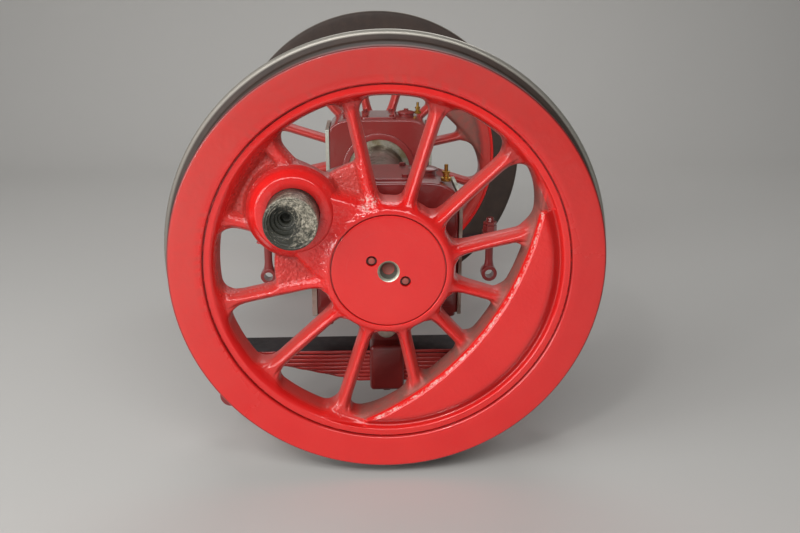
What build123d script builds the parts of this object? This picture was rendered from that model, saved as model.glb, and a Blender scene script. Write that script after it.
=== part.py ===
"""Coupled wheelset of a standard-gauge steam locomotive, with its axleboxes and springs.

Millimetres. The origin is the middle of the axle, +Z is up and the axle lies along Y.
The locomotive's front is towards -X, so the left-hand wheel is at -Y.
"""
import os
from math import cos, radians, sin

from build123d import *

os.makedirs("parts", exist_ok=True)

# Tyre
tread_d = 1100.0
flange_height = 28.0
back_to_back = 1360.0
tyre_width = 140.0
tyre_thickness = 75.0
lip_height = 17.0
lip_width = 12.0
flange_crown = 8.0
flange_tip_height = 12.0
flange_root_height = 2.0
tread_cone = 4.5
ring_width = 10.0
ring_height = 10.3
ring_setback = 6.0

# Wheel centre
rim_depth = 45.0
rim_bevel_width = 24.0
rim_bevel_height = 15.0
rim_overlap = 8.0
spoke_count = 12
spoke_reach = 40.0
spoke_half = 18.0
spoke_slope = 11.0
spoke_root = 30.0
spoke_foot = 34.0
hub_d = 330.0
hub_length = 145.0
hub_bevel_width = 14.0
hub_bevel_height = 12.0
seat_d = 210.0
crank_radius = 275.0
boss_d = 236.0
boss_face_d = 196.0
boss_back = 46.0
neck_back = 36.0
neck_setback = 18.0
web_back = 32.0
web_front = 20.0
web_reach = 10.0
weight_arc_r = 764.0
weight_inner_r = 301.0
weight_lead = 175.9
weight_groove = 27.0
weight_setback = 4.0
weight_step = 14.0

# Crank pin
pin_d = 130.0
pin_seat_d = 136.0
pin_reach = 88.0
pin_recess_d = 72.0
pin_recess_depth = 12.0

# Axle
journal_d = 190.0
journal_length = 256.0
middle_d = 170.0
middle_taper = 40.0
seat_setback = 2.0
end_centre_d = 54.0

# Axlebox and bearing
hub_side_play = 12.0
box_length = 236.0
box_width = 380.0
box_top = 190.0
box_bottom = 170.0
box_corner_length = 45.0
box_corner_height = 30.0
liner_thickness = 10.0
liner_margin = 4.0
liner_end_margin = 5.0
brass_thickness = 22.0
journal_clearance = 0.08
keep_clearance = 6.0
keep_end_margin = 4.0
leg_clearance = 0.6

# Spring and what hangs it under the axlebox
leaf_count = 8
leaf_thickness = 12.0
leaf_width = 110.0
leaf_end_margin = 40.0
short_leaf_length = 260.0
spring_top = 305.0
buckle_length = 96.0
buckle_wall = 20.0
tie_thickness = 30.0
tie_width = 150.0
pin_drop = 238.0
eye_r = 34.0
lug_spacing = 80.0
lug_thickness = 24.0
lug_root = 10.0
lug_gap = 1.0
link_pin_d = 40.0
link_pin_end = 10.0
link_clearance = 0.2
hanger_spacing = 900.0
hanger_d = 32.0
hanger_drop = 150.0
hanger_eye_r = 32.0
hanger_eye_width = 52.0
hanger_bore_d = 36.0
saddle_height = 24.0
saddle_length = 56.0
saddle_margin = 10.0
nut_r = 28.0
nut_height = 28.0

# The rest follows from the sizes above
tread_r = tread_d / 2
wheel_back = back_to_back / 2
wheel_front = wheel_back + tyre_width
mid_plane = wheel_back + tyre_width / 2
rim_r = tread_r - tyre_thickness
rim_inner_r = rim_r - rim_depth
rim_front = wheel_front - lip_width
rim_back = wheel_back + ring_setback + ring_width
lip_r = rim_r - lip_height
hub_r = hub_d / 2
hub_back = wheel_front - hub_length
seat_r = seat_d / 2
boss_r = boss_d / 2
boss_face_r = boss_face_d / 2
journal_r = journal_d / 2
box_middle = hub_back - hub_side_play - box_length / 2
box_inner = box_middle - box_length / 2
brass_r = journal_r + brass_thickness
leg_inner = brass_r + 8
leaf_pack = leaf_count * leaf_thickness
main_leaf_length = hanger_spacing + 2 * leaf_end_margin
neck_front = wheel_front - neck_setback
pin_end = wheel_front + pin_reach

# Side's name, direction of its outer face along Y, crank angle seen from outside, degrees
SIDES = [
    ("left", -1, 147.5),
    ("right", 1, -57.5),
]


def polar(angle, radius):
    """Point at an angle and a radius in the wheel's own plane."""
    return (radius * cos(radians(angle)), radius * sin(radians(angle)))


with BuildPart() as axle:
    with BuildSketch(Plane.YZ):
        with BuildLine():
            journal_start = box_middle - journal_length / 2
            Polyline(
                (0, 0),
                (0, middle_d / 2),
                (journal_start - middle_taper, middle_d / 2),
                (journal_start, journal_r),
                (hub_back - seat_setback, journal_r),
                (hub_back - seat_setback, seat_r),
                (wheel_front, seat_r),
                (wheel_front, end_centre_d / 2),
                (wheel_front - end_centre_d / 2 * 1.5, 0),
                close=True,
            )
        make_face()
    revolve(axis=Axis.Y)
    mirror(about=Plane.XZ)
axle.part.label = "axle"
export_step(axle.part, "parts/axle.step")

# Spoke along local x: radius, and its half width at the middle plane
SPOKE_SECTIONS = [
    (hub_r - spoke_root / 2, spoke_half * 1.8),
    (hub_r + spoke_root, spoke_half),
    (rim_inner_r - spoke_foot, spoke_half),
    (rim_inner_r + 6, spoke_half * 2.6),
]
with BuildPart() as spoke:
    for radius, half_width in SPOKE_SECTIONS:
        with BuildSketch(Plane(origin=(radius, 0, mid_plane), x_dir=(0, 1, 0), z_dir=(1, 0, 0))):
            ridge = half_width - spoke_slope
            with BuildLine():
                Polyline(
                    (ridge, spoke_reach),
                    (half_width, 0),
                    (ridge, -spoke_reach),
                    (-ridge, -spoke_reach),
                    (-half_width, 0),
                    (-ridge, spoke_reach),
                    close=True,
                )
            make_face()
    loft(ruled=True)

for side, out, crank_angle in SIDES:
    # The wheel's plane seen from outside: local x and y across it, local z outwards
    disc = Plane(origin=(0, 0, 0), x_dir=(-out, 0, 0), z_dir=(0, out, 0))
    # Half sections to revolve: local x outwards along the axle, local y the radius
    half = Plane(origin=(0, 0, 0), x_dir=(0, out, 0), z_dir=(out, 0, 0))
    pin_at = polar(crank_angle, crank_radius)

    with BuildPart() as tyre:
        with BuildSketch(half):
            with BuildLine():
                Polyline(
                    (wheel_back, tread_r + flange_tip_height),
                    (wheel_back + flange_crown, tread_r + flange_height),
                    (wheel_back + flange_crown * 2, tread_r + flange_height),
                    (wheel_back + flange_crown * 4, tread_r + flange_root_height),
                    (wheel_front, tread_r - tread_cone),
                    (wheel_front, lip_r),
                    (rim_front, lip_r),
                    (rim_front, rim_r),
                    (wheel_back, rim_r),
                    close=True,
                )
            make_face()
        revolve(axis=Axis.Y)
    tyre.part.label = f"tyre_{side}"
    export_step(tyre.part, f"parts/tyre_{side}.step")

    with BuildPart() as ring:
        with BuildSketch(half):
            with Locations((rim_back - ring_width / 2, rim_r - ring_height / 2)):
                Rectangle(ring_width, ring_height)
        revolve(axis=Axis.Y)
    ring.part.label = f"tyre_ring_{side}"
    export_step(ring.part, f"parts/tyre_ring_{side}.step")

    arc_at = polar(crank_angle + weight_lead + 180, weight_arc_r - weight_inner_r)
    with BuildPart(disc) as centre:
        # Rim and hub
        with BuildSketch(half):
            with BuildLine():
                Polyline(
                    (rim_back, rim_r),
                    (rim_back, rim_inner_r),
                    (rim_front - rim_bevel_width, rim_inner_r),
                    (rim_front, lip_r - rim_bevel_height),
                    (rim_front, rim_r),
                    close=True,
                )
            make_face()
            with BuildLine():
                Polyline(
                    (hub_back, seat_r - 10),
                    (hub_back, hub_r),
                    (wheel_front - hub_bevel_width, hub_r),
                    (wheel_front, hub_r - hub_bevel_height),
                    (wheel_front, seat_r - 10),
                    close=True,
                )
            make_face()
        revolve(axis=Axis.Y)
        with PolarLocations(0, spoke_count, crank_angle + 180 / spoke_count):
            add(spoke.part)
        # Web round the crank, closed out to the rim between the two short spokes
        with BuildSketch(disc.offset(mid_plane - web_back)):
            for spread, radius in ((45, crank_radius + web_reach), (15, rim_inner_r + rim_overlap)):
                with BuildLine():
                    first = polar(crank_angle - spread, radius)
                    last = polar(crank_angle + spread, radius)
                    Polyline(last, (0, 0), first)
                    ThreePointArc(first, polar(crank_angle, radius), last)
                make_face()
        extrude(amount=web_back + web_front)
        # Neck from the hub to the crank boss
        with BuildSketch(disc.offset(mid_plane - neck_back)):
            Circle(boss_face_r)
            with Locations(pin_at):
                Circle(boss_face_r)
            make_hull()
        extrude(amount=neck_front - mid_plane + neck_back)
        boss_shoulder = wheel_front - (boss_r - boss_face_r)
        with BuildSketch(disc.offset(mid_plane - boss_back)):
            with Locations(pin_at):
                Circle(boss_r)
        extrude(amount=boss_shoulder - mid_plane + boss_back)
        with BuildSketch(disc.offset(boss_shoulder)):
            with Locations(pin_at):
                Circle(boss_r)
        extrude(amount=wheel_front - boss_shoulder, taper=45)
        # Balance weight: its body out to the rim, then the raised face inside the groove
        for start, stop, radius in (
            (rim_back + weight_setback, rim_front - weight_step, rim_inner_r + rim_overlap),
            (rim_front - weight_step, wheel_front - weight_setback, rim_inner_r - weight_groove),
        ):
            with BuildSketch(disc.offset(start)):
                Circle(radius)
                with Locations(arc_at):
                    Circle(weight_arc_r, mode=Mode.SUBTRACT)
            extrude(amount=stop - start)
        # Bores for the axle and the crank pin
        with BuildSketch(disc.offset(hub_back - 1)):
            Circle(seat_r)
        extrude(amount=hub_length + 2, mode=Mode.SUBTRACT)
        with BuildSketch(disc.offset(wheel_back)):
            with Locations(pin_at):
                Circle(pin_seat_d / 2)
        extrude(amount=tyre_width + 2, mode=Mode.SUBTRACT)
    centre.part.label = f"wheel_centre_{side}"
    export_step(centre.part, f"parts/wheel_centre_{side}.step")

    # The pin's seat in the boss, its journal, then the recess in its end
    with BuildPart() as pin:
        for start, stop, radius, mode in (
            (mid_plane - boss_back, wheel_front, pin_seat_d / 2, Mode.ADD),
            (wheel_front, pin_end, pin_d / 2, Mode.ADD),
            (pin_end - pin_recess_depth, pin_end, pin_recess_d / 2, Mode.SUBTRACT),
        ):
            with BuildSketch(disc.offset(start)):
                with Locations(pin_at):
                    Circle(radius)
            extrude(amount=stop - start, mode=mode)
    pin.part.label = f"crank_pin_{side}"
    export_step(pin.part, f"parts/crank_pin_{side}.step")

    with BuildPart() as axlebox:
        with BuildSketch(disc.offset(box_inner)):
            with BuildLine():
                w = box_width / 2
                Polyline(
                    (-w, -box_bottom),
                    (-w, box_top - box_corner_height),
                    (-w + box_corner_length, box_top),
                    (w - box_corner_length, box_top),
                    (w, box_top - box_corner_height),
                    (w, -box_bottom),
                    (leg_inner, -box_bottom),
                    (leg_inner, 0),
                    (-leg_inner, 0),
                    (-leg_inner, -box_bottom),
                    close=True,
                )
            make_face()
            Circle(brass_r, mode=Mode.SUBTRACT)
        extrude(amount=box_length)
    axlebox.part.label = f"axlebox_{side}"
    export_step(axlebox.part, f"parts/axlebox_{side}.step")

    with BuildPart() as brass:
        with BuildSketch(disc.offset(box_inner)):
            Circle(brass_r)
            Circle(journal_r + journal_clearance, mode=Mode.SUBTRACT)
            with Locations((0, -brass_r)):
                Rectangle(brass_r * 2 + 10, brass_r * 2, mode=Mode.SUBTRACT)
        extrude(amount=box_length)
    brass.part.label = f"bearing_brass_{side}"
    export_step(brass.part, f"parts/bearing_brass_{side}.step")

    with BuildPart() as keep:
        with BuildSketch(disc.offset(box_inner + keep_end_margin)):
            with Locations((0, -box_bottom / 2)):
                Rectangle(leg_inner * 2 - leg_clearance, box_bottom - leg_clearance)
            Circle(journal_r + keep_clearance, mode=Mode.SUBTRACT)
        extrude(amount=box_length - 2 * keep_end_margin)
    keep.part.label = f"keep_{side}"
    export_step(keep.part, f"parts/keep_{side}.step")

    with BuildPart() as liners:
        liner_top = box_top - box_corner_length
        liner_bottom = box_bottom - liner_end_margin
        with BuildSketch(disc.offset(box_inner - liner_margin)):
            for edge in (-1, 1):
                with Locations((edge * (box_width + liner_thickness) / 2, (liner_top - liner_bottom) / 2)):
                    Rectangle(liner_thickness, liner_top + liner_bottom)
        extrude(amount=box_length + 2 * liner_margin)
    liners.part.label = f"guide_liners_{side}"
    export_step(liners.part, f"parts/guide_liners_{side}.step")

    with BuildPart() as tie:
        with BuildSketch(disc.offset(box_middle - tie_width / 2)):
            with Locations((0, -box_bottom - tie_thickness / 2)):
                Rectangle(box_width, tie_thickness)
        extrude(amount=tie_width)
        for plate in (-1, 1):
            with BuildSketch(disc.offset(box_middle + (plate * lug_spacing - lug_thickness) / 2)):
                with Locations((0, -pin_drop)):
                    Circle(eye_r)
                with Locations((0, -(box_bottom + lug_root + pin_drop) / 2)):
                    Rectangle(eye_r * 2, pin_drop - box_bottom - lug_root)
                with Locations((0, -pin_drop)):
                    Circle(link_pin_d / 2, mode=Mode.SUBTRACT)
            extrude(amount=lug_thickness)
    tie.part.label = f"axlebox_tie_{side}"
    export_step(tie.part, f"parts/axlebox_tie_{side}.step")

    with BuildPart() as link_pin:
        link_pin_length = lug_spacing + lug_thickness + 2 * link_pin_end
        with BuildSketch(disc.offset(box_middle - link_pin_length / 2)):
            with Locations((0, -pin_drop)):
                Circle(link_pin_d / 2 - link_clearance)
        extrude(amount=link_pin_length)
    link_pin.part.label = f"spring_pin_{side}"
    export_step(link_pin.part, f"parts/spring_pin_{side}.step")

    hanger_at = [(x, out * box_middle) for x in (-hanger_spacing / 2, hanger_spacing / 2)]
    with BuildPart() as leaves:
        with BuildSketch(disc.offset(box_middle - leaf_width / 2)):
            step = (main_leaf_length - short_leaf_length) / (leaf_count - 1)
            for k in range(leaf_count):
                with Locations((0, -spring_top - (k + 0.5) * leaf_thickness)):
                    Rectangle(main_leaf_length - k * step, leaf_thickness)
        extrude(amount=leaf_width)
        with BuildSketch(Plane.XY.offset(-spring_top)):
            with Locations(*hanger_at):
                Circle(hanger_d / 2 + lug_gap)
        extrude(amount=-leaf_pack, mode=Mode.SUBTRACT)
    leaves.part.label = f"spring_leaves_{side}"
    export_step(leaves.part, f"parts/spring_leaves_{side}.step")

    with BuildPart() as buckle:
        with BuildSketch(disc.offset(box_middle - leaf_width / 2 - buckle_wall)):
            with Locations((0, -spring_top - leaf_pack / 2)):
                Rectangle(buckle_length, leaf_pack + 2 * buckle_wall)
        extrude(amount=leaf_width + 2 * buckle_wall)
        with BuildSketch(disc.offset(box_middle - leaf_width / 2)):
            with Locations((0, -spring_top - leaf_pack / 2)):
                Rectangle(buckle_length, leaf_pack)
        extrude(amount=leaf_width, mode=Mode.SUBTRACT)
        tongue_width = lug_spacing - lug_thickness - 2 * lug_gap
        with BuildSketch(disc.offset(box_middle - tongue_width / 2)):
            with Locations((0, -pin_drop)):
                Circle(eye_r)
            with Locations((0, -(pin_drop + spring_top - buckle_wall / 2) / 2)):
                Rectangle(eye_r * 2, spring_top - pin_drop - buckle_wall / 2)
            with Locations((0, -pin_drop)):
                Circle(link_pin_d / 2, mode=Mode.SUBTRACT)
        extrude(amount=tongue_width)
    buckle.part.label = f"spring_buckle_{side}"
    export_step(buckle.part, f"parts/spring_buckle_{side}.step")

    with BuildPart() as hangers:
        with BuildSketch(Plane.XY.offset(-spring_top - hanger_drop + hanger_eye_r / 2)):
            with Locations(*hanger_at):
                Circle(hanger_d / 2)
        extrude(amount=hanger_drop - hanger_eye_r / 2 + saddle_height)
        with BuildSketch(Plane.XY.offset(-spring_top)):
            with Locations(*hanger_at):
                Rectangle(saddle_length, leaf_width - 2 * saddle_margin)
        extrude(amount=saddle_height)
        with BuildSketch(Plane.XY.offset(-spring_top + saddle_height)):
            with Locations(*hanger_at):
                RegularPolygon(nut_r, 6)
        extrude(amount=nut_height)
        with BuildSketch(disc.offset(box_middle - hanger_eye_width / 2)):
            with Locations(*[(x, -spring_top - hanger_drop) for x, y in hanger_at]):
                Circle(hanger_eye_r)
        extrude(amount=hanger_eye_width)
        with BuildSketch(disc.offset(box_middle - hanger_eye_width / 2)):
            with Locations(*[(x, -spring_top - hanger_drop) for x, y in hanger_at]):
                Circle(hanger_bore_d / 2)
        extrude(amount=hanger_eye_width, mode=Mode.SUBTRACT)
    hangers.part.label = f"spring_hangers_{side}"
    export_step(hangers.part, f"parts/spring_hangers_{side}.step")
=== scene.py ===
"""Coupled wheelset of a steam locomotive with its axleboxes and leaf springs, dressed round its CAD frame.

Sizes are in millimetres up to the point where a mesh is made.
"""
import math

import bmesh
import bpy
import numpy as np
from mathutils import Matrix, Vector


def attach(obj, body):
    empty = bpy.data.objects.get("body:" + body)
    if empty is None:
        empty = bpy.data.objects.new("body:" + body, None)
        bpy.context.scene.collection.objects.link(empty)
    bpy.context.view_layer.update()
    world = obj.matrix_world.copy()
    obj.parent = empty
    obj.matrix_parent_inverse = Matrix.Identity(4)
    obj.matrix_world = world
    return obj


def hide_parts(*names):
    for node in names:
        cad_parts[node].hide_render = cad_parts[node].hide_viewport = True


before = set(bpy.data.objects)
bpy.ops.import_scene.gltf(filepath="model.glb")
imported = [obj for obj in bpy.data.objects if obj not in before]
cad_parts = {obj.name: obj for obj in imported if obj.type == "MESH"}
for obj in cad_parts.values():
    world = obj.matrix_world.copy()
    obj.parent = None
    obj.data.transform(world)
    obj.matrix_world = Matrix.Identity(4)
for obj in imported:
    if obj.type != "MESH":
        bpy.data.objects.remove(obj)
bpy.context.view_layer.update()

# Wheel centres. Each is one steel casting of hub, twelve spokes, rim, crank boss and balance weight, made in
# sand, turned at the hub, rim and crank pin only, and painted with a gloss red enamel that is thick enough to
# soften the edges. Its faces are heights over its middle plane, on grids that follow the openings.
# The wheel's middle plane from the engine's, radii from the axle, and heights over the middle plane
MIDDLE = 750.0
HUB_GRID_R, RIM_GRID_R, CREST_R, LIP_R, RIM_R = 150.0, 436.0, 443.0, 458.2, 475.0
SEAT_R, HUB_FACE, HUB_BACK, RIM_FACE, RIM_BACK = 105.0, 70.0, -75.0, 58.0, -54.0
RIM_TOP, LIP_DROP = 62.0, 0.9
HALF_CELL, SPOKE_HALF_WIDTH, SPOKE_ROUND, EDGE_ROUND = 15.0, 17.2, 25.0, 17.0
OPENING_INNER_R, OPENING_OUTER_R = 172.0, 428.0
CRANK_R, BOSS_R, BOSS_DRAFT = 275.0, 118.0, 6.0
WEB_R, WEB_CUT, WEB_ANGLE = 288.0, 12.0, 45.0
ARC_R, ARC_INNER_R, ARC_LEAD, WALL_DRAFT = 764.0, 301.0, 175.9, 7.0
ARC_AT = (ARC_R - ARC_INNER_R) * np.exp(1j * math.radians(ARC_LEAD + 180))
WEIGHT_FACE, WEIGHT_FLAT_R, WEIGHT_FADE_FROM = 66.0, 399.0, 30.0
# Steps of the grids along a spoke, across a cell's rim and its hub, rows of face and back, and halvings
SPOKE_STEPS, RIM_STEPS, HUB_STEPS = 44, 30, 18
FACE_ROWS, BACK_ROWS, HALVINGS = 26, 14, 30
# Which way along Y is outwards on each side, and the angle of that side's crank
SIDES = {"left": (-1.0, 147.5), "right": (1.0, -57.5)}


def curve(x, knots, values):
    """A smooth line through (knot, value) pairs: a cubic between each two, level at each peak and end."""
    k, y = np.asarray(knots, float), np.asarray(values, float)
    step, rise = np.diff(k), np.diff(y) / np.diff(k)
    slope = np.zeros(len(k))
    both = rise[:-1] * rise[1:]
    slope[1:-1] = np.where(both > 0, 2 * both / np.where(both > 0, rise[:-1] + rise[1:], 1.0), 0.0)
    at = np.clip(np.searchsorted(k, x, side="right") - 1, 0, len(k) - 2)
    t = np.clip((x - k[at]) / step[at], 0, 1)
    return (
        y[at] * (1 + 2 * t) * (1 - t) ** 2
        + slope[at] * step[at] * t * (1 - t) ** 2
        + y[at + 1] * t * t * (3 - 2 * t)
        - slope[at + 1] * step[at] * t * t * (1 - t)
    )


def ease(x):
    """0 below 0, 1 above 1, and a smooth step between: 3x squared less 2x cubed."""
    x = np.clip(x, 0, 1)
    return x * x * (3 - 2 * x)


def blend_max(a, b, fillet):
    """The larger of two heights, with a fillet where they are nearly equal."""
    h = np.clip(0.5 + 0.5 * (a - b) / fillet, 0, 1)
    return b + (a - b) * h + fillet * h * (1 - h)


def opening(p, cell):
    """How far a point is outside a cell's opening. Each wall gives its own distance, and two walls meet
    in a fillet: the root of the sum of the squares of (distance + radius), less the radius."""
    r, turn = np.abs(p), np.angle(p * np.exp(-1j * math.radians(cell)))
    fillet = 15 + 21 * ease((r - OPENING_INNER_R) / 220)
    half = SPOKE_HALF_WIDTH + 3 * ease((215 - r) / 50) + 4 * ease((r - 370) / 60)
    walls = [
        half - r * np.abs(np.sin(turn - math.radians(HALF_CELL))),
        half - r * np.abs(np.sin(turn + math.radians(HALF_CELL))),
        OPENING_INNER_R - r,
        r - OPENING_OUTER_R,
        np.abs(p - ARC_AT) - ARC_R + WALL_DRAFT,
    ]
    if abs(cell) == 2 * HALF_CELL:
        walls[2] = WEB_R - (WEB_CUT if cell < 0 else 0) - r
        walls.append(BOSS_R - BOSS_DRAFT - np.abs(p - CRANK_R))
        fillet = 15 + 18 * ease((r - 350) / 60)
    return np.sqrt(sum(np.maximum(d + fillet, 0) ** 2 for d in walls)) - fillet


def casting_height(p, cell, front):
    """Height of the casting over its middle plane: its upper line, the largest of hub, ridge, rim, weight
    and crank, times a rounded rise from the opening's edge, (1 - (1 - d)^n)^(1/n)."""
    r, angle = np.abs(p), np.abs(np.degrees(np.angle(p)))
    outside = opening(p, cell) if cell else np.full(p.shape, 99.0)
    arc = np.abs(p - ARC_AT) - ARC_R
    boss = np.abs(p - CRANK_R)
    spoke_off = r * np.sin(np.radians(np.abs((angle % (2 * HALF_CELL)) - HALF_CELL)))
    section = np.sqrt(np.clip(1 - (spoke_off / SPOKE_ROUND) ** 3, 0, 1))
    # Each line gives distances, from the axle, the weight's arc or the crank pin, and the heights there
    if front:
        ridge = curve(r, [120, 160, 185, 215, 300, 440], [62, 60, 52, 46, 40, 38])
        hub = curve(r, [100, 150, 155, 160, 166, 173, 184], [HUB_FACE, 70, 69.2, 66, 58, 42, 0])
        rim = curve(r, [404, 416, 426, 432, 436, 440, 445, 480], [0, 24, 41, 50, 55.6, 59.6, 62, RIM_TOP])
        rim = rim - 12 * ease((CREST_R - r) / 3.5) * ease((arc + 60) / 64)
        weight = np.minimum(curve(arc, [-42, -24, -7, 4, 12], [0, 12, 38, 57, 60]),
                            curve(r, [396, 411, 440], [60, 40, 40]))
        crank = curve(boss, [0, 88, 98, 108, 116, 128, 140], [58, 58, 55, 45, 39, 14, 0])
        lean = np.abs(p.imag) + 0.26 * (p.real - 215)
        neck = curve(lean, [0, 76, 86, 97, 110, 122], [63, 62, 57, 40, 16, 0])
        web = {30: 35.0, -30: 18.0}.get(cell, 14.0)
    else:
        ridge = curve(r, [120, 165, 200, 300, 440], [50, 50, 44, 40, 38])
        hub = curve(r, [100, 152, 160, 168, 176, 190], [-HUB_BACK, 75, 70, 58, 42, 0])
        rim = curve(r, [404, 418, 430, 440, 452, 480], [0, 24, 38, 46, 54, -RIM_BACK])
        weight = curve(arc, [-42, -24, -7, 6, 14], [0, 10, 34, 49, 50])
        crank = curve(boss, [0, 106, 116, 126, 140], [46, 46, 40, 22, 0])
        neck = curve(np.abs(p.imag), [0, 74, 90, 106, 124], [38, 38, 36, 26, 6])
        web = 30.0
    neck = neck * ease(p.real / 60) * ease((CRANK_R + 20 - p.real) / 60)
    web = np.where(angle < WEB_ANGLE, web, 0.0)
    top = ridge * np.where(angle < WEB_ANGLE + 0.001, section, 1.0)
    for height, fillet in ((web, 8), (neck, 7), (crank, 7), (weight, 9), (rim, 7), (hub, 8)):
        top = blend_max(top, height, fillet)
    squareness = 1.75 + 1.7 * ease((spoke_off - 13) / 10)
    rise = (1 - (1 - np.clip(outside / EDGE_ROUND, 0, 1)) ** squareness) ** (1 / squareness)
    return top * rise


def cell_grids(cell, spine_angle, spine_from, spine_to, front):
    """One cell of the casting. Straight lines run from the opening's edge, found by halving, to the cell's
    border: spoke ridge, rim circle, spoke ridge, hub circle. The rim ring outside it has its own grid."""
    left, right = np.radians([cell - HALF_CELL, cell + HALF_CELL])
    along, across, round_hub = (np.arange(steps) / steps for steps in (SPOKE_STEPS, RIM_STEPS, HUB_STEPS))
    out = HUB_GRID_R + (RIM_GRID_R - HUB_GRID_R) * along
    back = RIM_GRID_R - (RIM_GRID_R - HUB_GRID_R) * along
    border = np.concatenate([
        out * np.exp(1j * left),
        RIM_GRID_R * np.exp(1j * (left + (right - left) * across)),
        back * np.exp(1j * right),
        HUB_GRID_R * np.exp(1j * (right + (left - right) * round_hub)),
    ])
    spine_turn = math.radians(spine_angle)
    spine = np.clip((border * np.exp(-1j * spine_turn)).real, spine_from, spine_to) * np.exp(1j * spine_turn)
    low, high = np.zeros(len(border)), np.full(len(border), 1.0 if cell else 0.0)
    for _ in range(HALVINGS if cell else 0):
        half = (low + high) / 2
        inside = opening(spine + (border - spine) * half, cell) < 0
        low, high = np.where(inside, half, low), np.where(inside, high, half)
    edge = spine + (border - spine) * high
    rows = FACE_ROWS if front else BACK_ROWS
    t = (np.arange(rows + 1) / rows)[:, None] ** 1.7
    p = edge + (border - edge) * t
    height = casting_height(p, cell, front)
    if cell:
        height[0] = 0.0
    radii = [RIM_GRID_R, 437.5, 439, 440.2, 441.4, 442.6, 444, 446, 450, 456.4, 457.5, LIP_R]
    radii = np.array(radii)[:, None]
    ring = radii * np.exp(1j * (left + (right - left) * np.arange(RIM_STEPS + 1) / RIM_STEPS))
    lip = casting_height(ring, cell, front) - LIP_DROP * (front & (radii >= LIP_R))
    return (p, height), (ring, lip)


# Cell's direction from the crank, direction of the line in its opening, and that line's two radii
CELLS = [
    (0, 0, 393, 393),
    (30, 32, 335, 388), (-30, -32, 335, 388),
    (60, 60, 203, 385), (-60, -60, 203, 385),
    (90, 90, 203, 385), (-90, -90, 203, 385),
    (120, 120, 203, 352), (-120, -120, 203, 385),
    (150, 150, 203, 280), (-150, -150, 203, 292),
    (180, 180, 203, 258),
]


def solid(p, height, sign=1.0):
    """Points in a wheel's own axes, seen from outside: across, up, and outwards from the axle's middle."""
    p, height = np.broadcast_arrays(p, height)
    return np.stack([p.real, p.imag, MIDDLE + sign * height], axis=-1)


def casting_grids():
    """All grids of one wheel centre: both faces of the cells, the rim ring, and the hub's turned surfaces."""
    grids = []
    for cell in CELLS:
        for front, sign in ((True, 1.0), (False, -1.0)):
            (p, height), (ring, lip) = cell_grids(*cell, front)
            grids.append((solid(p, height, sign), False, True))
            grids.append((solid(ring, lip, sign), False, False))
    cells = len(CELLS)
    hub_turn = np.radians(-HALF_CELL + np.arange(cells * HUB_STEPS) * 2 * HALF_CELL / HUB_STEPS)
    rim_turn = np.radians(-HALF_CELL + np.arange(cells * RIM_STEPS) * 2 * HALF_CELL / RIM_STEPS)
    face = [
        (HUB_GRID_R, HUB_FACE), (146.6, 70), (145.7, 69.3), (145.2, 67.5), (145.1, 62), (142.7, 62),
        (142.6, 67.5), (142.1, 69.2), (141, 69.7), (138, 69.9), (SEAT_R, HUB_FACE),
    ]
    bore = [(SEAT_R, HUB_FACE), (SEAT_R, HUB_BACK), (HUB_GRID_R, HUB_BACK)]
    seat = [(LIP_R, RIM_TOP - LIP_DROP), (LIP_R, RIM_FACE), (RIM_R, RIM_FACE)]
    seat += [(RIM_R, RIM_BACK), (LIP_R, RIM_BACK)]
    for line, turn in ((face, hub_turn), (bore, hub_turn), (seat, rim_turn)):
        radius, height = np.array(line, float).T[:, :, None]
        grids.append((solid(radius * np.exp(1j * turn), height), False, True))
    return grids


def capped(grid):
    """The grid with a column more at each end, all of it at the mean of that end's own column."""
    first, last = (np.full_like(grid[:, :1], grid[:, end].mean()) for end in (0, -1))
    return np.hstack([first, grid, last])


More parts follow.
